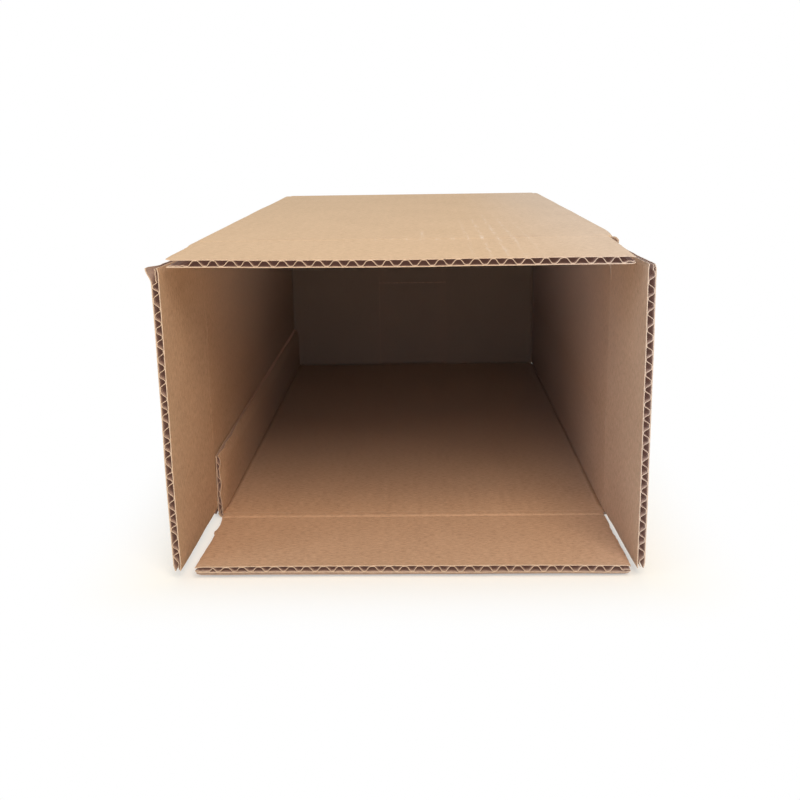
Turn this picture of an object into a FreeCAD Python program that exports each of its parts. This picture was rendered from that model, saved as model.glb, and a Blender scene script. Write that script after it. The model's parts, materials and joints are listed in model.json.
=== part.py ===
import FreeCAD, Part
import os
from math import cos, radians, sin, tan

# A slotted carton folded from one sheet of corrugated board and lying on its lower wide panel. The open
# end looks along -Y with its four flaps standing forward; the rear end is folded shut and taped. Z is up,
# lengths are in millimetres, and the origin is the middle of the footprint, on the surface it lies on.

# Corrugated board: two facings with a fluted sheet between them, flutes along Y
board = 6.0             # whole thickness
facing = 0.6            # each flat sheet
fluting = 0.5           # the wavy sheet
flute_pitch = 11.7      # crest to crest
crest_flat = 1.5        # part of a crest that is glued to a facing
crest_round = 1.4       # inside of a crest's bends
flap_rim = 2.8          # board left crushed shut beside the last flute of a flap

# Carton, inside sizes, and its length from the front score of the wide panels to the rear face
inner_width = 320.0
inner_height = 220.0
carton_length = 600.0

# Folds, scores and slots
fold_round = 4.0        # outside of a right-angled fold
fold_inside = 1.0       # inside of a right-angled fold
fold_toe = 2.0          # the lap's fold is crushed back this far from the left wall
score_gap = 0.4         # between the two crushed edges of an open score
swing_gap = 0.3         # left beside a flap that swings or lies past its neighbour
seam_gap = 0.6          # between the two wide flaps where they meet
flute_stop = 4.0        # flutes are crushed shut this near to a score's bevel
slot_margin = 0.8       # a slot is cut this much past the scores or folds at its corner

# Side edges of the wide flaps, measured inwards from the faces that they must pass
top_trim_left = 1.8
top_trim_right = 4.5
bottom_trim_left = 0.7
bottom_trim_right = 0.5
rear_trim = 1.0

# Glue lap that joins the sheet's ends: it stands up from the lower panel, inside the left wall
lap_height = 50.0
wall_lift = 0.5         # the left wall's cut edge stays this far off the ground

# How far the open flaps lean at rest, in degrees: inwards for the wide pair, outwards for the narrow pair
top_lean = 0.9
bottom_lean = 1.8
left_lean = 2.4
right_lean = 1.7

# Parcel tape over the rear seam, turned forward onto both side walls
tape_width = 48.0
tape_thickness = 0.2
tape_turn = 55.0

# Lengths of the flaps: the wide ones meet in the middle, and the narrow ones fold one board deeper, inside
half = board / 2
bevel_tip = score_gap / 2
narrow_step = board + swing_gap
wide_flap = (inner_height + board - seam_gap) / 2
narrow_flap = wide_flap + narrow_step
slot_depth = narrow_step + half + bevel_tip + slot_margin

# Reach of the leaning flaps, and the carton's place about the middle of the whole footprint
left_reach = narrow_flap * sin(radians(left_lean)) + half * cos(radians(left_lean)) - half
right_reach = narrow_flap * sin(radians(right_lean)) + half * cos(radians(right_lean)) - half
front_reach = max(
    wide_flap * cos(radians(top_lean)) + half * sin(radians(top_lean)),
    wide_flap * cos(radians(bottom_lean)) + half * sin(radians(bottom_lean)),
    narrow_flap * cos(radians(left_lean)) + half * sin(radians(left_lean)) - narrow_step,
    narrow_flap * cos(radians(right_lean)) + half * sin(radians(right_lean)) - narrow_step,
)
left = (left_reach - right_reach - inner_width) / 2
right = left + inner_width
low = board
high = low + inner_height
seam_z = (low + high) / 2
score_y = (front_reach - carton_length - tape_thickness) / 2
rear_y = score_y + carton_length
narrow_rear_y = rear_y - board - swing_gap
shell_front = score_y + slot_depth
shell_rear = narrow_rear_y - board - fold_inside - slot_margin

# Side edges of the open flaps; the narrow ones clear the leaning wide ones as they swing
top_edges = (left + top_trim_left, right - top_trim_right)
bottom_edges = (left + board + bottom_trim_left, right - bottom_trim_right)
top_drop = wide_flap * sin(radians(top_lean)) - half * (1 - cos(radians(top_lean)))
bottom_rise = wide_flap * sin(radians(bottom_lean)) - half * (1 - cos(radians(bottom_lean)))
narrow_edges = (low + bottom_rise + swing_gap, high - top_drop - swing_gap)

# Each open flap: its score's middle, turn about Y that puts its outer face outwards, lean, edges and length
flaps = {
    "flap_top": ((sum(top_edges) / 2, score_y, high + half), 0, top_lean, top_edges, wide_flap),
    "flap_bottom": ((sum(bottom_edges) / 2, score_y, half), 180, bottom_lean, bottom_edges, wide_flap),
    "flap_left": (
        (left - half, score_y + narrow_step, sum(narrow_edges) / 2),
        -90, -left_lean, narrow_edges, narrow_flap,
    ),
    "flap_right": (
        (right + half, score_y + narrow_step, sum(narrow_edges) / 2),
        90, -right_lean, narrow_edges, narrow_flap,
    ),
}


def prism(plane, corners, start, end):
    """Solid with corners (u, v) or (u, v, radius) in a plane, drawn out from start to end across it."""
    place = {
        "xy": lambda u, v: FreeCAD.Vector(u, v, start),
        "xz": lambda u, v: FreeCAD.Vector(u, start, v),
        "yz": lambda u, v: FreeCAD.Vector(start, u, v),
    }[plane]
    axis = {"xy": FreeCAD.Vector(0, 0, 1), "xz": FreeCAD.Vector(0, 1, 0), "yz": FreeCAD.Vector(1, 0, 0)}[plane]
    points = [place(corner[0], corner[1]) for corner in corners]
    edges = []
    spans = []
    for index, corner in enumerate(corners):
        here = points[index]
        if len(corner) == 2:
            spans.append((here, here))
            continue
        back = (points[index - 1] - here).normalize()
        ahead = (points[(index + 1) % len(points)] - here).normalize()
        opening = back.getAngle(ahead) / 2
        inward = (back + ahead).normalize()
        first = here + back * (corner[2] / tan(opening))
        last = here + ahead * (corner[2] / tan(opening))
        crown = here + inward * (corner[2] / sin(opening) - corner[2])
        edges.append(Part.Arc(first, crown, last).toShape())
        spans.append((first, last))
    for index, (first, last) in enumerate(spans):
        edges.append(Part.LineSegment(spans[index - 1][1], first).toShape())
    wire = Part.Wire(Part.__sortEdges__(edges))
    return Part.Face(wire).extrude(axis * (end - start))


def flute_channels(width, start, end):
    """The spaces above and below the fluted sheet, side by side across a width centred on X = 0."""
    core = board - 2 * facing
    rise = core - fluting
    run = flute_pitch / 2 - crest_flat
    flank = fluting / 2 * (rise ** 2 + run ** 2) ** 0.5 / rise
    top_half = crest_flat / 2 + fluting / 2 * run / rise - flank
    base_half = top_half + (core - fluting) * run / rise
    count = int((width - 2 * flap_rim - 2 * base_half) / (flute_pitch / 2)) + 1
    channels = []
    for index in range(count):
        middle = (index - (count - 1) / 2) * flute_pitch / 2
        side = 1 if index % 2 else -1
        base = -side * core / 2
        crest = side * (core / 2 - fluting)
        corners = [
            (middle - base_half, base),
            (middle + base_half, base),
            (middle + top_half, crest, crest_round),
            (middle - top_half, crest, crest_round),
        ]
        channels.append(prism("xz", corners, start, end))
    return channels


def flap(width, reach):
    """A flap with its score along X at the origin, its outer face up and its cut end towards -Y."""
    section = [
        (-bevel_tip, 0),
        (-bevel_tip - half, half),
        (-reach, half),
        (-reach, -half),
        (-bevel_tip - half, -half),
    ]
    slab = prism("yz", section, -width / 2, width / 2)
    return slab.cut(flute_channels(width, -reach, -bevel_tip - half - flute_stop))


def score_edge(width, depth):
    """The panel's crushed edge facing a flap across the score, in the flap's own frame."""
    section = [
        (bevel_tip, 0),
        (bevel_tip + half, half),
        (depth, half),
        (depth, -half),
        (bevel_tip + half, -half),
    ]
    return prism("yz", section, -width / 2, width / 2)


def at_score(shape, middle, turn, lean):
    """Put a shape drawn in a flap's own frame at its score."""
    about_y = FreeCAD.Rotation(FreeCAD.Vector(0, 1, 0), turn)
    about_score = FreeCAD.Rotation(FreeCAD.Vector(1, 0, 0), lean)
    shape.Placement = FreeCAD.Placement(FreeCAD.Vector(*middle), about_y * about_score)
    return shape


def shell():
    """The four walls between the slots, with the crushed fold of the lap beside the left wall's cut edge."""
    outside = [
        (left - board, wall_lift),
        (left - board, high + board, fold_round),
        (right + board, high + board, fold_round),
        (right + board, 0, fold_round),
        (left + fold_toe, 0, fold_round),
        (left, fold_toe * tan(radians(60))),
        (left, wall_lift),
    ]
    inside = [
        (left, low, fold_inside),
        (left, high, fold_inside),
        (right, high, fold_inside),
        (right, low, fold_inside),
    ]
    hollow = prism("xz", inside, shell_front, shell_rear)
    return prism("xz", outside, shell_front, shell_rear).cut(hollow)


def front_edges():
    """The panels' edges along the four front scores."""
    edges = []
    for middle, turn, lean, sides, reach in flaps.values():
        depth = shell_front - middle[1]
        edges.append(at_score(score_edge(sides[1] - sides[0], depth), middle, turn, 0))
    return edges


def glue_lap():
    """The strip of the sheet that is glued up the inside of the left wall."""
    corners = [
        (left, half),
        (left + board, half),
        (left + board, low + lap_height),
        (left, low + lap_height),
    ]
    start = score_y + narrow_step + half + swing_gap
    return prism("xz", corners, start, narrow_rear_y - board - swing_gap)


def rear_wide_flap(inner_z, outward):
    """A wide flap folded across the rear end, with the stretch of its panel behind the slots."""
    tip = seam_z + outward * seam_gap / 2
    section = [
        (shell_rear, inner_z),
        (rear_y - board, inner_z, fold_inside),
        (rear_y - board, tip),
        (rear_y, tip),
        (rear_y, inner_z + outward * board, fold_round),
        (shell_rear, inner_z + outward * board),
    ]
    return prism("yz", section, left + rear_trim, right - rear_trim)


def rear_narrow_flap(inner_x, outward):
    """A narrow flap folded across the rear end inside the wide ones, with its stretch of side wall."""
    tip = inner_x + outward * (half - narrow_flap)
    section = [
        (inner_x, shell_rear),
        (inner_x, narrow_rear_y - board, fold_inside),
        (tip, narrow_rear_y - board),
        (tip, narrow_rear_y),
        (inner_x + outward * board, narrow_rear_y, fold_round),
        (inner_x + outward * board, shell_rear),
    ]
    return prism("xy", section, low + rear_trim, high - rear_trim)


def box_body():
    """The walls, the glue lap and the closed rear end: one folded and glued sheet."""
    pieces = front_edges() + [
        glue_lap(),
        rear_wide_flap(high, 1),
        rear_wide_flap(low, -1),
        rear_narrow_flap(right, 1),
        rear_narrow_flap(left, -1),
    ]
    return shell().fuse(pieces).removeSplitter()


def rear_tape():
    """Tape across the rear seam, bridging the slots at both sides to lie on the side walls."""
    leave = narrow_rear_y - 0.6 * fold_round
    ends = rear_y - tape_turn
    inner = [
        (left - board, ends),
        (left - board, leave),
        (left + rear_trim, rear_y),
        (right - rear_trim, rear_y),
        (right + board, leave),
        (right + board, ends),
    ]
    outer = [
        (right + board + tape_thickness, ends),
        (right + board + tape_thickness, leave),
        (right - rear_trim, rear_y + tape_thickness),
        (left + rear_trim, rear_y + tape_thickness),
        (left - board - tape_thickness, leave),
        (left - board - tape_thickness, ends),
    ]
    return prism("xy", inner + outer, seam_z - tape_width / 2, seam_z + tape_width / 2)


parts = {"box_body": box_body(), "rear_tape": rear_tape()}
for name, (middle, turn, lean, sides, reach) in flaps.items():
    parts[name] = at_score(flap(sides[1] - sides[0], reach), middle, turn, lean)
    print(name, "score at", [round(value, 3) for value in middle])

os.makedirs("parts", exist_ok=True)
for name, shape in parts.items():
    shape.exportStep("parts/" + name + ".step")
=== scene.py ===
import json
from math import cos, pi, radians, sin, sqrt

import bpy
import numpy as np
from mathutils import Matrix, Vector


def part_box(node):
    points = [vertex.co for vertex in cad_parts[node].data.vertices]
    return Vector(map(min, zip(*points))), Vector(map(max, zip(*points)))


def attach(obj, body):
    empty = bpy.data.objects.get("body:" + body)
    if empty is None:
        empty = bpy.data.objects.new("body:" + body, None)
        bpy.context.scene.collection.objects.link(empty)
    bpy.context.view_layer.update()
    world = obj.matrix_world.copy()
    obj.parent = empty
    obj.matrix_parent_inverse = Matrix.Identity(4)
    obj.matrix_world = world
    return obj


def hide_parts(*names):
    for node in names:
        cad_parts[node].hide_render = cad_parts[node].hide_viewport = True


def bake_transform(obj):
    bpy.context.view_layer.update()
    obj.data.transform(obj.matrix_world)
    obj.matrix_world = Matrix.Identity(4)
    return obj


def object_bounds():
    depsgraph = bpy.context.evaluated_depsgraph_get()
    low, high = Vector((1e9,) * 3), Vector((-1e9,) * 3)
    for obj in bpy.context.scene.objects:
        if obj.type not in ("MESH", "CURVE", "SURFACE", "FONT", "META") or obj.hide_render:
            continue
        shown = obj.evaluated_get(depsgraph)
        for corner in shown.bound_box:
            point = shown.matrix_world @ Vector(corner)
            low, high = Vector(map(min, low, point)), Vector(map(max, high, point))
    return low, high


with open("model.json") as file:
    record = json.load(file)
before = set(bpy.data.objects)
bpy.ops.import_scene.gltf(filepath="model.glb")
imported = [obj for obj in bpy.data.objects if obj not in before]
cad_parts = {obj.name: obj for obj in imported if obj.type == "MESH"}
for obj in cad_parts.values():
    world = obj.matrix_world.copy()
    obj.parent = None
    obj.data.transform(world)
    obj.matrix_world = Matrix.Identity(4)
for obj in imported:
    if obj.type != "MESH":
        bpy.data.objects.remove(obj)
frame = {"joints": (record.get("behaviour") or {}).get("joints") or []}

scene = bpy.context.scene
cad_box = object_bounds()

# Camera: it stands 0.7 m in front of the open flaps, 80 mm above the carton's top and a little right of its
# middle, and looks down into it.
camera_place = (0.0119, -1.0698, 0.3127)
camera_turn = radians(1.217)
camera_dip = radians(14.161)
camera_roll = radians(-0.866)
camera_data = bpy.data.cameras.new("camera")
camera_data.lens = 47.97
camera_data.sensor_width = 36
camera = bpy.data.objects.new("camera", camera_data)
scene.collection.objects.link(camera)
camera.matrix_world = (
    Matrix.Translation(camera_place)
    @ Matrix.Rotation(camera_turn, 4, "Z")
    @ Matrix.Rotation(pi / 2 - camera_dip, 4, "X")
    @ Matrix.Rotation(camera_roll, 4, "Z")
)
scene.camera = camera

# Studio: a wide white table that fades into a white surround, in a dim cool room. A large warm lamp stands
# in front and above, and weaker ones fill in from overhead, the left, low in front and behind.
scene.view_settings.view_transform = "Standard"
lamp_target = Vector((0, -0.1, 0.12))
lamp_rows = [
    # name, place, size, watts, colour
    ("window_lamp", (0.45, -2.05, 1.95), 1.5, 48.0, (1.0, 0.87, 0.77)),
    ("overhead_lamp", (0.0, 0.1, 2.3), 2.2, 3.0, (1.0, 1.0, 1.0)),
    ("left_lamp", (-1.9, -1.5, 0.9), 1.2, 12.5, (0.79, 0.87, 1.0)),
    ("front_lamp", (0.0, -2.6, 0.7), 1.6, 2.4, (0.79, 0.87, 1.0)),
    ("rear_lamp", (0.0, 2.0, 1.6), 1.5, 6.5, (1.0, 0.95, 0.90)),
]
for name, place, size, watts, colour in lamp_rows:
    lamp_data = bpy.data.lights.new(name, "AREA")
    lamp_data.shape = "SQUARE"
    lamp_data.size = size
    lamp_data.energy = watts
    lamp_data.color = colour
    lamp = bpy.data.objects.new(name, lamp_data)
    scene.collection.objects.link(lamp)
    lamp.location = place
    lamp.rotation_euler = (lamp_target - Vector(place)).to_track_quat("-Z", "Y").to_euler()


def add_node(tree, kind, *values, **settings):
    """A shader node with its settings, each given socket set to a value or linked to another's output."""
    made = tree.nodes.new("ShaderNode" + kind)
    for key, value in settings.items():
        setattr(made, key, value)
    for socket, value in values:
        if hasattr(value, "is_output"):
            tree.links.new(value, made.inputs[socket])
        else:
            made.inputs[socket].default_value = value
    return made


room_light = (0.80, 0.90, 0.99, 1)
room_strength = 0.57
plain_white = (1, 1, 1, 1)
world = bpy.data.worlds.new("surround")
scene.world = world
world.use_nodes = True
tree = world.node_tree
tree.nodes.clear()
path = add_node(tree, "LightPath")
seen = add_node(
    tree, "Math", (0, path.outputs["Is Camera Ray"]), (1, path.outputs["Is Glossy Ray"]), operation="MAXIMUM",
)
room = add_node(tree, "Background", ("Color", room_light), ("Strength", room_strength))
white = add_node(tree, "Background", ("Color", plain_white), ("Strength", 1.0))
mixed = add_node(tree, "MixShader", (0, seen.outputs[0]), (1, room.outputs[0]), (2, white.outputs[0]))
add_node(tree, "OutputWorld", ("Surface", mixed.outputs[0]))

table_half = 6.0
table_height = -0.0004
table_colour = (0.97, 0.925, 0.79, 1)
# The table fades into the white between these distances from the carton's box, in metres.
table_fade = (-0.07, 0.09)
table_material = bpy.data.materials.new("white table")
table_material.use_nodes = True
tree = table_material.node_tree
shader = tree.nodes["Principled BSDF"]
shader.inputs["Base Color"].default_value = table_colour
shader.inputs["Roughness"].default_value = 0.9
shader.inputs["Specular IOR Level"].default_value = 0.0
geometry = add_node(tree, "NewGeometry")
mirrored = add_node(tree, "VectorMath", (0, geometry.outputs["Position"]), operation="ABSOLUTE")
carton_corner = (cad_box[1][0], cad_box[1][1], 0.0)
beyond = add_node(tree, "VectorMath", (0, mirrored.outputs[0]), (1, carton_corner), operation="SUBTRACT")
outside = add_node(tree, "VectorMath", (0, beyond.outputs[0]), operation="MAXIMUM")
far = add_node(tree, "VectorMath", (0, outside.outputs[0]), operation="LENGTH")
fade = add_node(
    tree, "MapRange",
    ("Value", far.outputs["Value"]), ("From Min", table_fade[0]), ("From Max", table_fade[1]),
    interpolation_type="SMOOTHSTEP",
)
path = add_node(tree, "LightPath")
shown = add_node(
    tree, "Math", (0, fade.outputs["Result"]), (1, path.outputs["Is Camera Ray"]), operation="MULTIPLY",
)
glow = add_node(tree, "Emission", ("Color", plain_white))
mixed = add_node(tree, "MixShader", (0, shown.outputs[0]), (1, shader.outputs[0]), (2, glow.outputs[0]))
tree.links.new(mixed.outputs[0], tree.nodes["Material Output"].inputs["Surface"])
table_mesh = bpy.data.meshes.new("table")
table_mesh.from_pydata(
    [(x * table_half, y * table_half, table_height) for x, y in ((-1, -1), (1, -1), (1, 1), (-1, 1))],
    [],
    [(0, 1, 2, 3)],
)
table = bpy.data.objects.new("table", table_mesh)
scene.collection.objects.link(table)
table_mesh.materials.append(table_material)

# Walls and glue lap: one sheet of heavy single-wall corrugated board, flutes along the carton, scored and
# folded round four walls, with its end strip turned up and glued inside the left wall. Lengths are in
# millimetres on the board and turned into metres in the mesh.
board = 6.0
facing = 0.65
fluting = 0.42
flute_pitch = 11.7
fold_round = 4.0
slot_depth = 10.3
rear_margin = 14.1
lap_height = 50.0
body_low, body_high = (1000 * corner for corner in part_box("box_body"))
left = body_low.x + board
right = body_high.x - board
low = body_low.z + board
high = body_high.z - board
rear_y = body_high.y
scores = {joint["name"]: 1000 * Vector(joint["pos_m"]) for joint in frame["joints"]}
score_y = scores["top_flap_score"].y
shell_front = score_y + slot_depth
shell_rear = rear_y - rear_margin
outside_brown = (0.655, 0.472, 0.308)
inside_brown = (0.585, 0.385, 0.25)
flute_brown = (0.44, 0.325, 0.26)
edge_brown = (0.60, 0.455, 0.34)
# Painted light and shade on the inside: far in it a cooler, paler brown paints its dim cool light, high on
# its far walls a pale brown paints light, and at the rear a dark brown paints shade.
painted_deep_light = (0.535, 0.43, 0.37)
painted_high_light = (0.88, 0.76, 0.71)
painted_far_shade = (0.30, 0.26, 0.25)
painted_far_shade_share = 0.35
# Painted light tint: every sheet is painted cooler round the upper part of the right wall and warmer
# elsewhere, standing for the cooler and warmer light that falls on the two sides.
painted_cool_light_tint = (0.985, 1.03, 1.13)
painted_warm_light_tint = (0.965, 0.92, 0.85)
# Where these change, in metres on the blank: round it, from the left wall's foot, and along it, to the rear.
top_middle = 0.3855
once_round = 1.08
painted_cool_light_middle = 0.63
painted_cool_light_reach = (0.08, 0.20)
painted_deep_light_reach = (-0.22, 0.10)
painted_high_light_reach = (-0.30, 0.06)
rear_start = 0.341
# Middle and half size of the patches on the top where the crests of the flutes are rubbed pale.
rubbed_brown = (0.86, 0.76, 0.66)
rubbed_patches = [
    ((0.4535, -0.215), (0.036, 0.24)),
    ((0.400, -0.22), (0.008, 0.06)),
    ((0.43, -0.244), (0.12, 0.012)),
]
# Painted light: the fluting paper glows faintly, so that the flute holes and other dark places show lit
# though no lamp reaches them.
painted_flute_glow = (0.050, 0.029, 0.024)
darkest = (0.70, 0.67, 0.63)
palest = (1.20, 1.23, 1.28)
fleck_scale = 230.0
fleck_rate = 0.93
fleck_rim = (0.06, 0.13)
fleck_share = 0.42
fleck_dark = 0.42


def kraft(
    name, brown, start, ridges=0.0, cloud=0.11, fibre=0.42, grain=0.26, deep=False, rubbed=0.0, glow=None,
):
    """Kraft paper on the flat blank: clouds, fibres, fine grit and dark flecks over its brown.

    Start is where on the grain the sheet begins, and cloud, fibre and grain are how strongly each shows.
    Ridges shades it along the flutes, deep adds painted light far in on the inside and painted shade at its
    rear, rubbed is how pale the worn crests of the flutes are, and glow is painted light, an emission that
    brightens the paper though it is no lamp. Every sheet is also given a painted light tint, cool round the
    upper part of the right wall and warm elsewhere.
    """
    material = bpy.data.materials.new(name)
    material.use_nodes = True
    tree = material.node_tree
    shader = tree.nodes["Principled BSDF"]
    shader.inputs["Roughness"].default_value = 0.88
    shader.inputs["Specular IOR Level"].default_value = 0.22

    def node(kind, *values, **settings):
        return add_node(tree, kind, *values, **settings)

    def calculated(operation, a, b=0.5):
        return node("Math", (0, a), (1, b), operation=operation).outputs[0]

    def times(a, b):
        return calculated("MULTIPLY", a, b)

    def plus(a, b):
        return calculated("ADD", a, b)

    def rising(value, start, stop, **settings):
        """0 up to the start, rising to 1 at the stop."""
        limits = (("From Min", start), ("From Max", stop))
        return node("MapRange", ("Value", value), *limits, **settings).outputs[0]

    def falling(value, start, stop):
        """1 up to the start, falling to 0 at the stop."""
        limits = (("From Min", start), ("From Max", stop), ("To Min", 1.0), ("To Max", 0.0))
        return node("MapRange", ("Value", value), *limits).outputs[0]

    def coated(colour, share, coat):
        """A colour with a share of another over it."""
        return node("Mix", (0, share), (6, colour), (7, (*coat, 1)), data_type="RGBA").outputs[2]

    def speckle(stretch, scale, detail, roughness=0.6, shift=0.0):
        """Grain of a scale per metre, round 0, from the flat sheet moved by a shift."""
        laid = node("Mapping", ("Vector", flat), ("Scale", stretch), ("Location", (shift, shift, 0)))
        made = node(
            "TexNoise", ("Vector", laid.outputs[0]), ("Scale", scale), ("Detail", detail),
            ("Roughness", roughness), noise_dimensions="2D",
        )
        return plus(made.outputs[0], -0.5)

    flat = node("UVMap", uv_map="blank").outputs[0]
    place = node("SeparateXYZ", (0, flat))
    around = place.outputs[0]
    along = place.outputs[1]

    # The brown of the pulp, from its clouds down to its grit, and the ridges of the flutes under the paper.
    clouds = speckle((1, 0.6, 1), 22, 3, shift=start)
    mottle = speckle((0.7, 1, 1), 170, 3, shift=2 * start)
    fibres = speckle((0.35, 1, 1), 650, 2, 0.7, shift=3 * start)
    grit = speckle((1, 1, 1), 2200, 1, shift=4 * start)
    ridge = calculated("COSINE", times(around, 2000 * pi / flute_pitch))
    tone = plus(plus(times(clouds, 2.0 * cloud), times(mottle, 1.5 * cloud)), times(fibres, 2 * fibre))
    tone = plus(tone, times(grit, 2 * grain))
    tone = plus(tone, times(ridge, ridges))
    tone = plus(tone, 0.5)
    ramp = node("ValToRGB", (0, tone))
    dark_end, pale_end = ramp.color_ramp.elements
    dark_end.position = 0.0
    dark_end.color = (*(part * less for part, less in zip(brown, darkest)), 1)
    pale_end.position = 1.0
    pale_end.color = (*(min(1, part * more) for part, more in zip(brown, palest)), 1)
    ramp.color_ramp.elements.new(0.5).color = (*brown, 1)
    colour = ramp.outputs[0]

    # Painted light and shade on the inside: far in, a cooler and paler brown for its dim cool light, a pale
    # brown round the top of the far walls for light, and a dark brown at the rear for shade.
    if deep:
        colour = coated(colour, rising(along, *painted_deep_light_reach), painted_deep_light)
        from_top = calculated("COSINE", times(plus(around, -top_middle), 2 * pi / once_round))
        upper = times(rising(from_top, -0.15, 0.65), rising(along, *painted_high_light_reach))
        behind = calculated("GREATER_THAN", along, rear_start)
        upper = times(upper, plus(1.0, times(behind, -1.0)))
        colour = coated(colour, upper, painted_high_light)
        colour = coated(colour, times(behind, painted_far_shade_share), painted_far_shade)

    # Dark flecks: a few of the cells of a fine pattern have one in their middle.
    cells = node(
        "TexVoronoi", ("Vector", flat), ("Scale", fleck_scale), ("Randomness", 1.0),
        voronoi_dimensions="2D", feature="F1",
    )
    chance = node("SeparateXYZ", (0, cells.outputs["Color"]))
    rare = calculated("GREATER_THAN", chance.outputs[0], fleck_rate)
    fleck = times(times(rare, falling(cells.outputs["Distance"], *fleck_rim)), fleck_share)
    colour = coated(colour, fleck, tuple(fleck_dark * part for part in brown))

    # Painted light tint: cooler round the upper part of the right wall, warmer elsewhere, for the colours of
    # the light falling there.
    from_cool = calculated("ABSOLUTE", plus(around, -painted_cool_light_middle))
    warm = rising(from_cool, *painted_cool_light_reach, interpolation_type="SMOOTHSTEP")
    shade = coated((*painted_cool_light_tint, 1), warm, painted_warm_light_tint)
    colour = node("VectorMath", (0, colour), (1, shade), operation="MULTIPLY").outputs[0]

    # Rubbed stripes: the crests of the flutes under the paper, worn pale in patches.
    if rubbed:
        crest = calculated("POWER", plus(times(ridge, 0.5), 0.5), 6.0)
        worn = rising(speckle((1, 0.10, 1), 330, 4, 0.8, shift=9.0), -0.06, 0.22)
        patches = None
        for middle, reach in rubbed_patches:
            inside = node(
                "Mapping", ("Vector", flat),
                ("Location", (-middle[0] / reach[0], -middle[1] / reach[1], 0)),
                ("Scale", (1 / reach[0], 1 / reach[1], 0)),
            )
            length = node("VectorMath", (0, inside.outputs[0]), operation="LENGTH").outputs["Value"]
            patch = falling(length, 0.2, 1.0)
            patches = patch if patches is None else plus(patches, patch)
        colour = coated(colour, times(times(times(crest, worn), patches), rubbed), rubbed_brown)

    # The paper's painted glow, an emission that brightens it though it is no lamp, and its rough surface.
    tree.links.new(colour, shader.inputs["Base Color"])
    if glow:
        shader.inputs["Emission Color"].default_value = (*glow, 1)
        shader.inputs["Emission Strength"].default_value = 1.0
    height = plus(times(fibres, 0.6), times(grit, 0.35))
    height = plus(height, times(mottle, 0.8))
    bump = node("Bump", ("Strength", 0.35), ("Distance", 0.00025), ("Height", height))
    tree.links.new(bump.outputs[0], shader.inputs["Normal"])
    return material


board_papers = [
    kraft("kraft outside", outside_brown, 13, ridges=0.012, rubbed=0.42),
    kraft("kraft inside painted light", inside_brown, 12, ridges=0.012, cloud=0.15, fibre=0.6, grain=0.4, deep=True),
    kraft("fluting paper painted glow", flute_brown, 13, cloud=0.06, glow=painted_flute_glow),
    kraft("cut paper edge", edge_brown, 14, cloud=0.05),
]
OUTSIDE, INSIDE, FLUTE, CUT = range(4)

# A fold: the board is crushed to a crease inside, with a low bead on both sides of it, and bends round
# outside.
fold_reach = 7.0
fold_points = 25
crease_depth = 0.9
crease_width = 0.8
bead_height = 0.35
bead_place = 2.6
bead_width = 1.1


def fold_path(corners, side=1):
    """A board's section through right-angled folds: length along the inside, inner and outer points."""
    corners = [np.array(corner, float) for corner in corners]
    heading = [(b - a) / np.linalg.norm(b - a) for a, b in zip(corners, corners[1:])]
    outward = [side * np.array((-d[1], d[0])) for d in heading]
    lengths = [np.linalg.norm(b - a) for a, b in zip(corners, corners[1:])]
    stations = [(0.0, corners[0], corners[0] + board * outward[0])]
    run = 0.0
    for index in range(1, len(heading)):
        run += lengths[index - 1]
        corner = corners[index]
        ahead, behind = heading[index], heading[index - 1]
        out_a, out_b = outward[index - 1], outward[index]
        reach_a = min(fold_reach, 0.9 * lengths[index - 1])
        reach_b = min(fold_reach, 0.9 * lengths[index])
        straight = board - fold_round
        quarter = pi * fold_round / 4
        half_a = reach_a + straight + quarter
        half_b = reach_b + straight + quarter
        centre = corner + straight * (out_a + out_b)
        for share in np.linspace(-1, 1, fold_points):
            share = np.sign(share) * abs(share) ** 1.4
            s = share * (reach_a if share < 0 else reach_b)
            inner = corner + (behind if s < 0 else ahead) * s
            crease = crease_depth * np.exp(-(s / crease_width) ** 2)
            bead = bead_height * np.exp(-((abs(s) - bead_place) / bead_width) ** 2)
            inner = inner + crease * (out_a + out_b) / sqrt(2) - bead * (out_a if s < 0 else out_b)
            q = half_a * share if share < 0 else half_b * share
            if q < -quarter:
                outer = centre + fold_round * out_a + behind * (q + quarter)
            elif q > quarter:
                outer = centre + fold_round * out_b + ahead * (q - quarter)
            else:
                angle = q / fold_round + pi / 4
                outer = centre + fold_round * (cos(angle) * out_a + sin(angle) * out_b)
            stations.append((run + s, inner, outer))
    run += lengths[-1]
    stations.append((run, corners[-1], corners[-1] + board * outward[-1]))
    along = np.array([station[0] for station in stations])
    return along, np.array([s[1] for s in stations]), np.array([s[2] for s in stations])


def in_section(path, s, depth):
    """Point of a section a length s along the inside and a depth out from it."""
    along, inner, outer = path
    share = depth / board
    return [
        np.interp(s, along, inner[:, axis]) * (1 - share) + np.interp(s, along, outer[:, axis]) * share
        for axis in (0, 1)
    ]


def unevenness(u, v):
    """How far the board stands off its flat, in the gentle waves of a sheet that has been handled."""
    slow = 0.30 * np.sin(u / 37 + 0.8) * np.sin(v / 61 + 0.5)
    quick = 0.12 * np.sin(u / 14.3 + v / 33 + 1.1) + 0.08 * np.sin(u / 9.1 - v / 21)
    return slow + quick


def ripple(seed, step, spread, count=400):
    """Uneven line through random heights, a step apart, with its middle at 0."""
    heights = np.random.default_rng(seed).uniform(-spread, spread, count)
    knots = np.arange(count) * step - count / 2 * step
    return lambda x: np.interp(x, knots, heights)


def flute_wave(u, pitch=flute_pitch, phase=2.4, seed=3, wander=0.5, skew=0.5, inward=False):
    """Height of the fluted sheet, from -1 at the inner facing to 1 at the outer, broader at one of them."""
    drift = ripple(seed, 9.0, wander)
    turn = 2 * pi * (u - phase + drift(u)) / pitch + (pi if inward else 0)
    wave = np.clip(1.33 * np.cos(turn - skew * np.sin(turn)), -1, 1)
    return -wave if inward else wave


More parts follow.
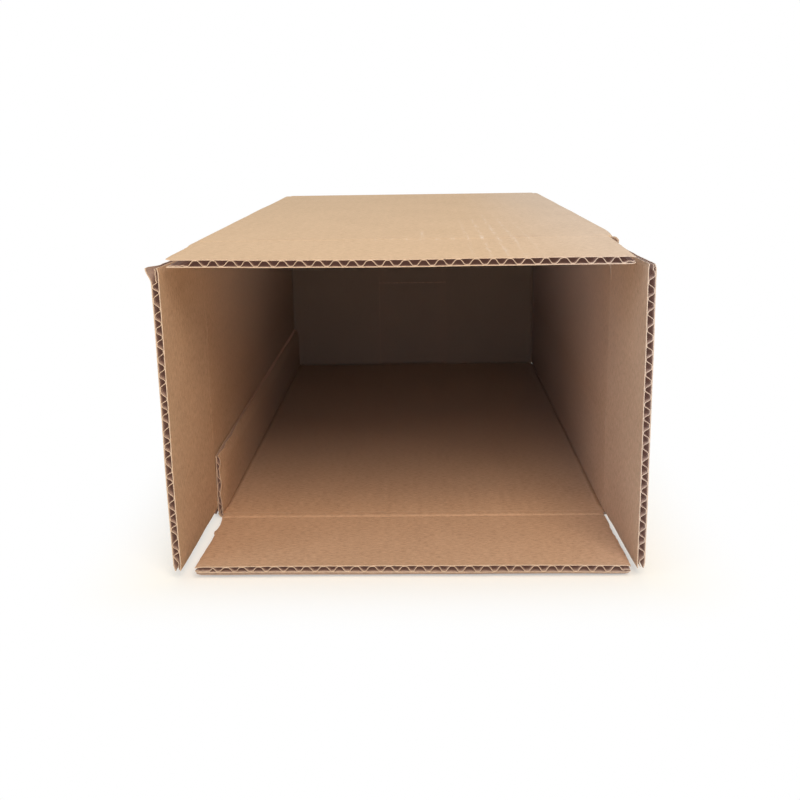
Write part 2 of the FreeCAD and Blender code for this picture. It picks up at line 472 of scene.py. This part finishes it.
def paper_sheet(us, rows, place, under, over, papers):
    """One closed sheet of paper in a board: its outer face, its inner face and its cut rim."""
    u, k = np.meshgrid(us, rows)
    upper, v = place(u, k, over(u, k))
    lower, v = place(u, k, under(u, k))
    points = np.concatenate([upper.reshape(-1, 3), lower.reshape(-1, 3)])
    flat = np.stack([u, v], -1).reshape(-1, 2)
    number = np.arange(u.size).reshape(u.shape)
    count = u.size
    a, b, c, d = number[:-1, :-1], number[1:, :-1], number[1:, 1:], number[:-1, 1:]
    faces = [np.stack([a, b, c, d], -1).reshape(-1, 4)]
    faces.append(np.stack([a, d, c, b], -1).reshape(-1, 4) + count)
    rims = []
    for line, turned in (
        (number[:, 0], True), (number[:, -1], False), (number[0, :], False), (number[-1, :], True),
    ):
        first, second = (line[1:], line[:-1]) if turned else (line[:-1], line[1:])
        rims.append(np.stack([first, second, second + count, first + count], -1))
    faces.append(np.concatenate(rims))
    papers = np.concatenate([np.full(len(group), paper) for group, paper in zip(faces, papers)])
    return points, np.concatenate(faces), np.concatenate([flat, flat]), papers


def board_piece(name, sheets, flat_start=0.0):
    """A named piece made of the sheets of one board, with its place on the flat blank in metres."""
    points, faces, flats, papers, count = [], [], [], [], 0
    for sheet_points, sheet_faces, sheet_flat, sheet_papers in sheets:
        points.append(sheet_points)
        faces.append(sheet_faces + count)
        flats.append(sheet_flat)
        papers.append(sheet_papers)
        count += len(sheet_points)
    points = np.concatenate(points) / 1000
    faces = np.concatenate(faces)
    flats = (np.concatenate(flats) + (flat_start, 0)) / 1000
    mesh = bpy.data.meshes.new(name)
    mesh.from_pydata(points.tolist(), [], faces.tolist())
    for paper in board_papers:
        mesh.materials.append(paper)
    mesh.polygons.foreach_set("material_index", np.concatenate(papers).astype(np.int32))
    layer = mesh.uv_layers.new(name="blank")
    layer.data.foreach_set("uv", flats[faces.ravel()].astype(np.float32).ravel())
    mesh.shade_smooth()
    mesh.set_sharp_from_angle(angle=radians(48))
    mesh.update()
    made = bpy.data.objects.new(name, mesh)
    scene.collection.objects.link(made)
    return made


def corrugated(
    facing_us, flute_us, facing_rows, flute_rows, place, inner_depth, outer_depth, wave, peel=None,
):
    """The three sheets of a board whose faces lie at the given depths; peel lifts the outer facing off."""
    bite = 0.02
    step = 0.2
    steepest = 1.6

    def off(u, k):
        return peel(u, k) if peel else 0 * u

    def under_out(u, k):
        return outer_depth(u, k) - facing

    def over_in(u, k):
        return inner_depth(u, k) + facing

    def flute_middle(u, k):
        low_side = over_in(u, k) + 0.5 * fluting
        high_side = under_out(u, k) - 0.5 * fluting
        return 0.5 * (low_side + high_side) + 0.5 * (high_side - low_side) * wave(u)

    def half_fluting(u, k):
        slope = (flute_middle(u + step, k) - flute_middle(u - step, k)) / (2 * step)
        return 0.5 * fluting * np.sqrt(1 + np.minimum(slope, steepest) ** 2)

    return [
        paper_sheet(
            facing_us, facing_rows, place,
            lambda u, k: under_out(u, k) + off(u, k), lambda u, k: outer_depth(u, k) + off(u, k),
            (OUTSIDE, FLUTE, CUT),
        ),
        paper_sheet(
            flute_us, flute_rows, place,
            lambda u, k: np.maximum(flute_middle(u, k) - half_fluting(u, k), over_in(u, k) - bite),
            lambda u, k: np.minimum(flute_middle(u, k) + half_fluting(u, k), under_out(u, k) + bite),
            (FLUTE, FLUTE, CUT),
        ),
        paper_sheet(facing_us, facing_rows, place, inner_depth, over_in, (FLUTE, INSIDE, CUT)),
    ]


wall_path = fold_path([
    (left, body_low.z + 0.5),
    (left, high),
    (right, high),
    (right, low),
    (left + board, low),
    (left + board, low + lap_height),
])
wall_end = wall_path[0][-1]
lap_turn = 6
lap_start = wall_end - lap_height - lap_turn
slot_corners = np.cumsum([high - body_low.z - 0.5, right - left, high - low])
wall_edge = ripple(11, 2.6, 0.25)
lap_edge = ripple(12, 3.0, 2.1)
lap_top = ripple(13, 7.0, 0.6)
front_trim = 0.15
# The front corner of the left wall's foot is cut off, 12 mm back and 14 mm high.
foot_cut = 12
foot_cut_height = 14
# The lap's front edge is set back, further in a notch at its foot, and torn unevenly through its papers. Its
# top is uneven too, and at the front it stands off the wall.
lap_set_back = 1.3
lap_notch = 4.5
lap_notch_middle = 5
lap_notch_reach = 9
lap_notch_start = 3
lap_tear_shift = 4.3
lap_top_strip = 4
lap_lift = 0.7
lap_lift_fade = 70
# The top right corner is pressed in at the front: how deep, how far round the fold and how far back.
right_dent = 4.5
right_dent_round = 14
right_dent_back = 60
# The walls wave from above the lap round to the lap's foot, off the floor, and along to the rear folds.
wave_start = 62
wave_stop = 290
wave_rise = 20
wave_fall = 40
floor_contact = 7
# How much the board is crushed on each face, where the slots end and along the left wall's foot.
slot_crush = 1.9
slot_crush_reach = 7
foot_crush = 1.6
foot_crush_reach = 3
# How far the lap's face is pressed down along its front edge and its top, and how far in from them that goes.
lap_front_crush = 1.9
lap_front_reach = 12
lap_top_crush = 3.0
lap_top_reach = 9
lap_length = 576
glue_gap = 0.15


def in_lap(u):
    """0 on the walls, rising to 1 on the lap."""
    return np.clip((u - lap_start) / lap_turn, 0, 1)


def at_slot(u, v):
    """How much the board is crushed where the slots end, 1 at a corner's front rim."""
    near = np.min([np.abs(u - corner) for corner in slot_corners], 0)
    back = np.clip(1 - (v - shell_front) / slot_crush_reach, 0, 1) ** 1.5
    return np.clip(1.6 - near / slot_crush_reach, 0, 1) * back


def wall_place(u, k, depth):
    """A point of the walls: u round the section, k from the rear edge (0) to the front edge (1)."""
    front = shell_front + front_trim + wall_edge(u) * (1 - in_lap(u))
    front = front + foot_cut * np.clip(1 - u / foot_cut_height, 0, 1)
    notch = np.clip(1 - np.abs(u - lap_start - lap_notch_middle) / lap_notch_reach, 0, 1)
    notch = lap_notch * notch * np.clip((u - lap_start) / lap_notch_start, 0, 1)
    front = front + in_lap(u) * (lap_set_back + lap_edge(u + lap_tear_shift * depth)) + notch
    v = shell_rear + (front - shell_rear) * k
    past_strip = u - wall_end + lap_top_strip
    s = u + (u > wall_end - lap_top_strip) * past_strip / lap_top_strip * lap_top(v)
    x, z = in_section(wall_path, s, depth)
    dent_round = np.exp(-((u - slot_corners[1]) / right_dent_round) ** 2)
    dent_back = np.clip((shell_front + right_dent_back - v) / right_dent_back, 0, 1) ** 1.5
    x = x - right_dent * (dent_round * dent_back)
    waving = np.clip((u - wave_start) / wave_rise, 0, 1) * (1 - in_lap(u))
    waving = waving * np.clip((wave_stop - v) / wave_fall, 0, 1)
    off_floor = np.clip((z - floor_contact) / wave_rise, 0, 1)
    bulge = unevenness(u, v) * waving * off_floor
    middle_x, middle_z = 0.5 * (left + right), 0.5 * (low + high)
    sideways = np.abs(x - middle_x) / (0.5 * (right - left)) > np.abs(z - middle_z) / (0.5 * (high - low))
    x = x + np.where(sideways, np.sign(x - middle_x) * bulge, 0)
    z = z + np.where(sideways, 0, np.sign(z - middle_z) * bulge)
    up_lap = np.clip((z - low) / lap_height, 0, 1)
    lifted = in_lap(u) * up_lap * lap_lift * np.exp((shell_front - v) / lap_lift_fade)
    return np.stack([x + lifted, v, z], -1), v


def lap_crush(u, k):
    """How far the lap's inner face is pressed towards the wall, at its front edge and along its top."""
    ahead = np.clip(1 - (1 - k) * lap_length / lap_front_reach, 0, 1)
    top_edge = np.clip(1 - (wall_end - u) / lap_top_reach, 0, 1)
    worn = 1 + 0.25 * np.sin(u / 3.1) + 0.2 * np.sin(k * 90)
    return in_lap(u) * np.maximum(lap_front_crush * ahead ** 0.7, lap_top_crush * top_edge ** 0.8) * worn


def wall_inner_depth(u, k):
    """Depth of the walls' inner face from the flat of the board's inside."""
    v = shell_rear + (shell_front - shell_rear) * k
    at_foot = np.clip(1 - u / foot_crush_reach, 0, 1)
    return lap_crush(u, k) + slot_crush * at_slot(u, v) + foot_crush * at_foot


def wall_outer_depth(u, k):
    """Depth of the walls' outer face from the flat of the board's inside."""
    v = shell_rear + (shell_front - shell_rear) * k
    at_foot = np.clip(1 - u / foot_crush_reach, 0, 1)
    return board - slot_crush * at_slot(u, v) - foot_crush * at_foot - glue_gap * in_lap(u)


fold_stations = wall_path[0][1:-1]
regular = np.arange(0, wall_end, flute_pitch / 5)
fold_clearance = 1.2
clear = np.min(np.abs(regular[:, None] - fold_stations[None, :]), 1) > fold_clearance
rim_steps = np.array([0.0, 0.8, 1.6, 3.0])
ends = np.concatenate([rim_steps, wall_end - rim_steps])
wall_us = np.unique(np.round(np.concatenate([regular[clear], fold_stations, ends]), 4))
flute_inset = 0.6
flute_us = np.arange(flute_inset, wall_end - flute_inset, flute_pitch / 12)
# Distances of the rows of points from the front rim, in the facings and in the fluting.
wall_length = shell_rear - shell_front
facing_marks = [560, 540, 500, 450, 400, 350, 300, 250, 200, 160, 120, 90, 60, 40, 24, 12, 6, 3, 1.2, 0]
flute_marks = [570, 480, 380, 280, 180, 90, 40, 12, 3, 0.4]
wall_rows = 1 - np.array([wall_length, *facing_marks]) / wall_length
flute_rows = 1 - np.array([wall_length, *flute_marks]) / wall_length
walls = board_piece("walls", corrugated(
    wall_us, flute_us, wall_rows, flute_rows, wall_place, wall_inner_depth, wall_outer_depth,
    flute_wave,
))
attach(walls, "carton")
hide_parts("box_body")

# Corner webs: at the two top corners the slots stop short, and the outer facing runs on round the fold to
# the crease as a small crumpled web. The left one ends in a long strip that tore off with the slot.
web_start = 1.2
web_end = 1.4
web_overlap = 0.6
web_sink = 0.3
web_backing = 0.5
web_points = (16, 14)
web_rows = [
    # name, outward, side face, reach ahead, squeeze, where the squeeze starts, dip, dent
    ("corner_web_left", -1, left - board, 54.0, 4.9, 0.5, 0.0, 0.0),
    ("corner_web_right", 1, right + board, 7.5, -2.6, 0.0, 1.4, right_dent),
]
for name, outward, side_x, ahead, squeeze, straight, dip, dent in web_rows:
    web_edge = ripple(30 + outward, 1.4, 0.6)
    arc = fold_round * pi / 2

    def web_place(u, k, depth):
        """u up the side, round the fold and in along the top; k from the rear (0) to the front (1)."""
        q = u - web_start
        angle = np.clip(q / fold_round, 0, pi / 2)
        radius = fold_round - facing + depth
        inward = fold_round - radius * np.cos(angle) + np.maximum(q - arc, 0)
        z = high + board - fold_round + radius * np.sin(angle) + np.minimum(q, 0)
        v = shell_front + web_overlap - (ahead + web_overlap + web_edge(u)) * k
        pressed = squeeze * np.clip((k - straight) / (1 - straight), 0, 1) ** 1.2
        pressed = pressed + 0.15 * np.sin(1.9 * u) * k
        sunk = web_sink + dip * np.sin(pi * np.clip(k, 0, 1))
        return np.stack([side_x - outward * (inward + pressed + dent), v, z - sunk], -1), v

    web_us = np.linspace(0, web_start + arc + web_end, web_points[0])
    web_ks = np.linspace(0, 1, web_points[1])
    web_us = web_us if outward < 0 else web_us[::-1]
    web = board_piece(name, [paper_sheet(
        web_us, web_ks, web_place,
        lambda u, k: 0 * u - web_backing, lambda u, k: 0 * u + facing, (OUTSIDE, FLUTE, CUT),
    )])
    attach(web, "carton")
    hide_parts("box_body")

# Rear end: the two narrow flaps fold in first and the two wide flaps over them, meeting in the middle.
# All four are stretches of the same sheet, bent across their flutes at a crushed score.
layer_gap = 0.3
rear_face = rear_y - board
narrow_rear = rear_y - board - layer_gap
narrow_face = narrow_rear - board
narrow_reach = 119.0
rear_trim = -0.1
seam_z = 0.5 * (low + high)
seam_gap = 0.1
stop_play = 0.3
side_blend = 5
rear_pinch = 1.5
pinch_reach = 3
rear_rows = [
    # name, side the board is on, plane of its section, the section's corners, its two side edges, seed
    (
        "rear_flap_top", 1, "yz",
        [(shell_rear, high), (rear_face, high), (rear_face, seam_z + seam_gap / 2)],
        (left + rear_trim, right - rear_trim), 21,
    ),
    (
        "rear_flap_bottom", -1, "yz",
        [(shell_rear, low), (rear_face, low), (rear_face, seam_z - seam_gap / 2)],
        (left + rear_trim, right - rear_trim), 22,
    ),
    (
        "rear_flap_right", 1, "yx",
        [(shell_rear, right), (narrow_face, right), (narrow_face, right + board / 2 - narrow_reach)],
        (low + rear_trim, high - rear_trim), 23,
    ),
    (
        "rear_flap_left", -1, "yx",
        [(shell_rear, left), (narrow_face, left), (narrow_face, left - board / 2 + narrow_reach)],
        (low + rear_trim, high - rear_trim), 24,
    ),
]
for name, side, plane, corners, edges, seed in rear_rows:
    section = fold_path(corners, side)
    length = section[0][-1]
    width = edges[1] - edges[0]
    side_edge = ripple(seed, 4.0, 0.1)
    stop_edge = ripple(seed + 10, 2.5, 0.25)
    mirrored = (side == 1) == (plane == "yz")

    def rear_place(u, k, depth):
        """u across the flap, k from its cut end (0) to the walls (1)."""
        s = (length - stop_play + stop_play * stop_edge(u)) * (1 - k)
        near = np.clip(1 - np.minimum(u, width - u) / side_blend, 0, 1)
        a = u + near * side_edge(s) * np.where(u < width / 2, 1, -1)
        a = edges[0] + (a if mirrored else width - a)
        y, other = in_section(section, s, depth)
        parts = (a, y, other) if plane == "yz" else (other, y, a)
        return np.stack(parts, -1), shell_rear + s

    def pinch(u):
        """How far each facing is pinched along the two cut sides."""
        return rear_pinch * np.clip(1 - np.minimum(u, width - u) / pinch_reach, 0, 1) ** 1.5

    us = np.arange(0, width, flute_pitch / 4)
    us = np.unique(np.round(np.concatenate([us, rim_steps, width - rim_steps]), 3))
    past_fold = np.linspace(section[0][-2], length, 12)[1:]
    stations = np.concatenate([section[0][:-1], past_fold])
    rows = np.unique(np.round(1 - stations / length, 6))
    pieces = corrugated(
        us, np.arange(flute_inset, width - flute_inset, flute_pitch / 10), rows, rows, rear_place,
        lambda u, k: pinch(u), lambda u, k: board - pinch(u), flute_wave,
    )
    flap = board_piece(name, pieces)
    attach(flap, "carton")
    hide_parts("box_body")

# Parcel tape: one glossy brown strip over the rear seam, turned forward onto both side walls and pressed
# down by hand, so that it bridges the corner slots and carries a few long wrinkles.
tape_low, tape_high = (1000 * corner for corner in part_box("rear_tape"))
tape_film = 0.12
tape_gap = 0.04
tape_ends = tape_low.y
tape_brown = (0.36, 0.20, 0.09)
leave = narrow_rear - 0.6 * fold_round
tape_turns = np.array([
    (left - board, tape_ends),
    (left - board, leave),
    (left + rear_trim, rear_y),
    (right - rear_trim, rear_y),
    (right + board, leave),
    (right + board, tape_ends),
])
steps = np.linalg.norm(np.diff(tape_turns, axis=0), axis=1)
tape_run = np.concatenate([[0], np.cumsum(steps)])
tape_us = np.unique(np.concatenate([np.arange(0, tape_run[-1], 2.5), tape_run]))
tape_vs = np.linspace(0, 1, 25)
# The cutter leaves a row of teeth on both ends, and the tape puckers where it turns a corner.
tooth_count = 24
tooth_depth = 0.7
tooth_reach = 1.2
wrinkle_height = 0.05
pucker_height = 0.16
pucker_reach = 5
tangent_step = 1.5


def along_tape(u):
    """Place of the tape's line on the board, a length u from its left end."""
    return np.interp(u, tape_run, tape_turns[:, 0]), np.interp(u, tape_run, tape_turns[:, 1])


def tape_place(u, k, depth):
    """A point of the tape: u along its length, k across its width."""
    x, y = along_tape(u)
    corner = np.min(np.abs(u[..., None] - tape_run[None, None, 1:5]), -1)
    wave = np.sin(u / 2.9 + 5 * np.sin(k * 3.1))
    wrinkle = wrinkle_height + wrinkle_height * wave * np.exp(-((k - 0.35) / 0.3) ** 2)
    pucker = pucker_height * np.exp(-(corner / pucker_reach) ** 2) * (1 + np.sin(k * 19 + u / 3))
    height = tape_gap + (wrinkle + pucker) + depth
    ahead_x, ahead_y = along_tape(u + tangent_step)
    behind_x, behind_y = along_tape(u - tangent_step)
    tangent_x = ahead_x - behind_x
    tangent_y = ahead_y - behind_y
    size = np.sqrt(tangent_x ** 2 + tangent_y ** 2) + 1e-9
    z = tape_low.z + (tape_high.z - tape_low.z) * k
    end = np.minimum(u, tape_run[-1] - u)
    y = y + tooth_depth * np.abs((k * tooth_count) % 1 - 0.5) * np.exp(-(end / tooth_reach) ** 2)
    points = np.stack([x - tangent_y / size * height, y + tangent_x / size * height, z], -1)
    return points, k * (tape_high.z - tape_low.z)


film = bpy.data.materials.new("brown tape film")
film.use_nodes = True
tree = film.node_tree
shader = tree.nodes["Principled BSDF"]
shader.inputs["Roughness"].default_value = 0.22
shader.inputs["Coat Weight"].default_value = 0.5
shader.inputs["Coat Roughness"].default_value = 0.12
flat = add_node(tree, "UVMap", uv_map="blank")
laid = add_node(tree, "Mapping", ("Vector", flat.outputs[0]), ("Scale", (0.15, 1, 1)))
streaks = add_node(tree, "TexNoise", ("Vector", laid.outputs[0]), ("Scale", 260), ("Detail", 3))
shades = add_node(tree, "ValToRGB", (0, streaks.outputs[0]))
shades.color_ramp.elements[0].color = (*(0.8 * part for part in tape_brown), 1)
shades.color_ramp.elements[1].color = (*(1.25 * part for part in tape_brown), 1)
crinkle = add_node(
    tree, "Bump", ("Strength", 0.25), ("Distance", 0.0002), ("Height", streaks.outputs[0]),
)
tree.links.new(shades.outputs[0], shader.inputs["Base Color"])
tree.links.new(crinkle.outputs[0], shader.inputs["Normal"])
tape = board_piece("tape", [paper_sheet(
    tape_us, tape_vs[::-1], tape_place,
    lambda u, k: 0 * u, lambda u, k: 0 * u + tape_film, (0, 0, 0),
)])
tape.data.materials.clear()
tape.data.materials.append(film)
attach(tape, "carton")
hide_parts("rear_tape")

# Front flaps: four stretches of the same sheet, left open. Each bends at a crushed score, its far end was
# cut square across the flutes, and its long sides were slotted through and are pinched, frayed and bent.
flap_rows = [
    # piece, joint, cad node, axis along the score, outward, lean, reach
    ("top_flap_board", "top_flap_score", "flap_top", (1, 0, 0), (0, 0, 1), 0.9, 112.7),
    ("right_flap_board", "right_flap_score", "flap_right", (0, 0, -1), (1, 0, 0), -1.7, 119.0),
    ("bottom_flap_board", "bottom_flap_score", "flap_bottom", (-1, 0, 0), (0, 0, -1), 1.8, 112.7),
    ("left_flap_board", "left_flap_score", "flap_left", (0, 0, 1), (-1, 0, 0), -2.4, 119.0),
]
# How far each long side lies outside its slot line, as (distance from the score, mm) at the low and high end.
flap_sides = {
    "flap_top": (
        [(0, 1.7), (30, 1.9), (60, 1.5), (100, 1.8), (113, 1.9)],
        [(0, 1.6), (30, 1.0), (60, 0.2), (90, -0.6), (113, -0.8)],
    ),
    "flap_right": (
        [(0, 0.0), (30, 0.4), (70, 0.2), (119, 0.7)],
        [(0, 2.4), (20, 2.8), (38, 2.2), (60, 2.9), (90, 3.2), (119, 3.3)],
    ),
    "flap_bottom": (
        [(0, 0.2), (17, 0.5), (24, 0.3), (31, -0.5), (38, -0.1), (43, -0.4), (50, 0.1), (61, 0.3), (69, 0.1),
         (80, 0.5), (100, 0.5), (113, 0.1)],
        [(0, 1.7), (7, 0.5), (20, -0.3), (29, 0.1), (33, 1.2), (37, 1.2), (42, -0.4), (57, -0.5), (70, 0.0),
         (84, 0.3), (98, 0.6), (113, 0.7)],
    ),
    "flap_left": (
        [(0, 1.0), (25, 1.6), (40, 2.0), (58, 2.6), (75, 3.0), (90, 3.2), (119, 3.3)],
        [(0, 0.2), (40, 0.6), (80, 1.3), (119, 1.9)],
    ),
}
# How far the tip is bent outward at its low end, its middle and its high end, and how far the cut edge and
# the last flutes are pressed flat: towards the inner facing (-1) or the outer one (1), over so many mm.
flap_bends = {
    "flap_top": (1.3, 0.0, 0.0, (-0.9, 10.0), (-0.55, 6.0)),
    "flap_right": (-0.8, 0.0, 0.25, (0.6, 3.5), (-0.2, 2.5)),
    "flap_bottom": (0.3, -0.25, -0.25, (0.4, 6.0), (0.85, 11.0)),
    "flap_left": (-1.5, -0.2, 0.25, (-0.6, 6.0), (-0.3, 8.0)),
}
# How far the inner and the outer facing are crushed along the tip.
flap_crush = {
    "flap_top": (0.2, 0.3),
    "flap_right": (0.1, 0.1),
    "flap_bottom": (0.0, 0.2),
    "flap_left": (0.1, 0.2),
}
# How far the inner and the outer facing are pinched along the long sides, each at the low and the high end.
flap_pinches = {
    "flap_top": ((0.15, 0.6), (-0.6, 0.6)),
    "flap_right": ((0.7, 0.25), (0.9, 0.9)),
    "flap_bottom": ((0.7, 0.7), (0.9, 0.9)),
    "flap_left": ((0.7, 0.7), (0.9, 0.9)),
}
# The flutes as cut: pitch, shift, wander, how much broader one turn is, whether it is at the inner facing.
flap_flutes = {
    "flap_top": (11.757, -1.55, 0.7, 0.05, False),
    "flap_right": (10.49, -1.33, 0.8, 0.15, False),
    "flap_bottom": (11.7, -2.0, 0.8, 0.15, True),
    "flap_left": (10.345, 5.76, 1.9, 0.15, False),
}
# Where each flap's coordinate along the score starts on the flat blank, so that the walls' paper runs on.
wall_height = high - low
foot_run = 5.5
flat_starts = {
    "flap_top": wall_height + foot_run - left,
    "flap_right": wall_height + foot_run + (right - left) + high,
    "flap_bottom": 2 * wall_height + foot_run + (right - left) + right,
    "flap_left": -0.5,
}
# The crushed groove of the score on both faces: its depth on the inside of the wide and the narrow flaps and
# on the outside, its width, and the shallower line or bead beside it.
wide_groove = 0.9
narrow_groove = 0.3
groove_out = 0.55
groove_in_width = 1.7
groove_out_width = 1.6
bead_beside = 0.12
bead_beside_place = 4.2
bead_beside_width = 1.3
second_line_place = 8.0
second_line_width = 0.9
# The tip is cut a little short and uneven, and crushed, and the long sides are frayed and pinched.
tip_short = 0.2
tip_reach = 6
side_short = 0.1
side_reach = 7
pinch_width = 3.2
crush_reach = 14
# A flap bends at its score over this reach on both sides, and the walls' waves run on over it, half as high.
turn_reach = 3
warp_share = 0.5
warp_rise = 30
warp_inward = -0.2
# The bottom flap is cut short in a bow, its outer facing a little more, and its high end is crushed. A strip
# of its facing hangs loose under the tip, lower at the far side; its rims and the face against the flap take
# the darker fluting paper, painted shade that darkens the band under the tip.
bottom_bow = 1.4
bow_middle = 55
bow_reach = 70
bottom_short = 1.3
bottom_crush = 1.1
bottom_crush_run = 200
lip_rows = np.array([-9, -8, -7, -5.5, -4])
lip_start = 9
lip_rise = 3
lip_drop = 2.4
lip_far_drop = 0.6
lip_run = 300
# The left flap's outer facing is torn off the flutes at one corner of the tip.
torn_lift = 4.6
torn_start = 98
torn_run = 16
torn_width = 9
torn_rise = 10
# The flutes next to the flattened ones rise to their full height over this distance.
flat_rise = 4
# Where the rows of points lie close together: distances from the score, from the tip and from the sides.
near_score = [-4, -3.2, -2.6, -2.1, -1.6, -1.1, -0.5, 0, 0.5, 1.1, 1.6, 2.1, 2.6, 3.2, 4, 5, 6, 8, 11]
near_tip = np.array([6, 3.5, 2, 1, 0.4, 0])
near_side = np.array([0, 0.5, 1.1, 1.8, 2.6, 3.4, 4.4])


def smooth(x):
    """Soft step from 0 to 1."""
    x = np.clip(x, 0, 1)
    return x * x * (3 - 2 * x)


for number, (name, joint, node, along, outward, lean, reach) in enumerate(flap_rows):
    score = scores[joint]
    along = np.array(along, float)
    outward = np.array(outward, float)
    forward = np.array((0, -1, 0), float)
    box_low, box_high = (1000 * np.array(corner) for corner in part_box(node))
    half_width = 0.5 * abs(float((box_high - box_low) @ np.abs(along)))
    back = shell_front - score.y
    length = back + reach
    lean = radians(lean)
    flat_start = flat_starts[node] + float(np.array(score) @ along)
    cut = ripple(40 + number, 1.9, 0.2)
    fray = (ripple(50 + number, 2.6, 0.22), ripple(60 + number, 2.6, 0.22))
    wide = node in ("flap_top", "flap_bottom")
    groove_in = wide_groove if wide else narrow_groove
    low_bend, middle_bend, high_bend, low_flat, high_flat = flap_bends[node]
    inner_crush, outer_crush = flap_crush[node]
    inner_pinch, outer_pinch = flap_pinches[node]
    pitch, shift, wander, skew, inward = flap_flutes[node]

    def flap_place(u, k, depth):
        """A point of the flap: u along the score, k from the walls' rim (0) to the flap's tip (1)."""
        f = length * k - back
        stop = np.clip((f - reach + tip_reach) / tip_reach, 0, 1)
        short = tip_short + cut(u)
        if node == "flap_bottom":
            short = short + bottom_bow * np.exp(-((u - bow_middle) / bow_reach) ** 2)
            short = short + bottom_short * np.clip((depth - board + 0.4) / 1.6, 0, 1)
        f = f - stop * short
        a = u
        for side, marks, edge in zip((-1, 1), flap_sides[node], fray):
            near = np.clip(1 - (half_width - side * u) / side_reach, 0, 1)
            out = np.interp(f, [mark[0] for mark in marks], [mark[1] for mark in marks])
            a = a + side * near * (out - side_short + np.minimum(edge(f + 0.8 * depth), side_short))
        share = u / half_width
        end_bend = np.where(share < 0, low_bend, high_bend)
        bend = middle_bend + (end_bend - middle_bend) * share ** 2
        bend = bend * np.clip(f / reach, 0, 1) ** 1.5
        warp = unevenness(flat_start + u, score.y - f) * warp_share * smooth((f + back) / warp_rise)
        n = depth - board / 2 + bend + (np.maximum(warp, warp_inward) if wide else warp)
        turn = lean * smooth((f + turn_reach) / (2 * turn_reach))
        ahead = f * np.cos(turn) + n * np.sin(turn)
        rise = -f * np.sin(turn) + n * np.cos(turn)
        points = (
            np.array(score) + a[..., None] * along + ahead[..., None] * forward + rise[..., None] * outward
        )
        return points, score.y - f

    def pinch(u, amounts):
        """How far a facing is pinched along the long sides."""
        return np.where(u < 0, *amounts) * np.clip(1 - (half_width - np.abs(u)) / pinch_width, 0, 1) ** 1.3

    def tip(k):
        """0 on the flap, rising to 1 at its cut tip."""
        return smooth((length * k - back - reach + crush_reach) / crush_reach)

    def flap_inner(u, k):
        """Depth of the inner face from the flat of the board's inside."""
        f = length * k - back
        beads = bead_beside * np.exp(-((np.abs(f) - bead_beside_place) / bead_beside_width) ** 2)
        valley = groove_in * np.exp(-(f / groove_in_width) ** 2) - beads
        return valley + pinch(u, inner_pinch) + inner_crush * tip(k)

    def flap_outer(u, k):
        """Depth of the outer face from the flat of the board's inside."""
        f = length * k - back
        high_end = 0
        if node == "flap_bottom":
            high_end = bottom_crush * np.clip(1 - (half_width - u) / bottom_crush_run, 0, 1)
        groove = groove_out * np.exp(-(f / groove_out_width) ** 2)
        if wide:
            groove = groove + bead_beside * np.exp(-((f + second_line_place) / second_line_width) ** 2)
        return board - groove - pinch(u, outer_pinch) - (outer_crush + high_end) * tip(k)

    def flap_wave(u):
        """The flutes of this flap, pressed flat at both long sides."""
        w = flute_wave(flat_start + u, pitch, shift, 70 + number, wander, skew, inward)
        for side, (level, width) in ((-1, low_flat), (1, high_flat)):
            flattened = smooth((width + flat_rise / 2 - (half_width - side * u)) / flat_rise)
            w = w + flattened * (level + 0.1 * np.sin(u * 1.9) - w)
        return w

    def flap_lip(u, k):
        """Depth of the loose strip under the bottom flap's tip."""
        far_side = np.clip((u + half_width) / lip_run, 0, 1)
        hanging = smooth((length * k - back - reach + lip_start) / lip_rise)
        return flap_outer(u, k) + (lip_drop + lip_far_drop * far_side) * hanging

    def flap_peel(u, k):
        """How far the torn corner of the outer facing stands off the flutes."""
        f = length * k - back
        corner = smooth((u - half_width + torn_width) / torn_rise) ** 1.2
        return torn_lift * corner * smooth((f - torn_start) / torn_run)

    us = np.unique(np.round(np.concatenate([
        np.arange(-half_width, half_width, flute_pitch / 6), near_side - half_width, half_width - near_side,
    ]), 3))
    behind_score = -np.arange(5, back - 1, 0.8)
    fs = np.sort(np.concatenate([
        [-back], behind_score, near_score, np.arange(14, reach - 8, 4.0), reach - near_tip,
    ]))
    rows = (fs[fs >= -back] + back) / length
    sheets = corrugated(
        us, np.arange(-half_width + 0.5, half_width - 0.4, flute_pitch / 14), rows, rows, flap_place,
        flap_inner, flap_outer, flap_wave, flap_peel if node == "flap_left" else None,
    )
    if node == "flap_bottom":
        # Painted shade: the strip's rims and the face against the flap are in the darker fluting paper, to
        # darken the band under the tip.
        sheets.append(paper_sheet(
            us, (reach + lip_rows + back) / length, flap_place,
            lambda u, k: flap_outer(u, k) - 0.05, flap_lip, (OUTSIDE, FLUTE, FLUTE),
        ))
    flap = board_piece(name, sheets, flat_start)
    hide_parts(node)
    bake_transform(flap)
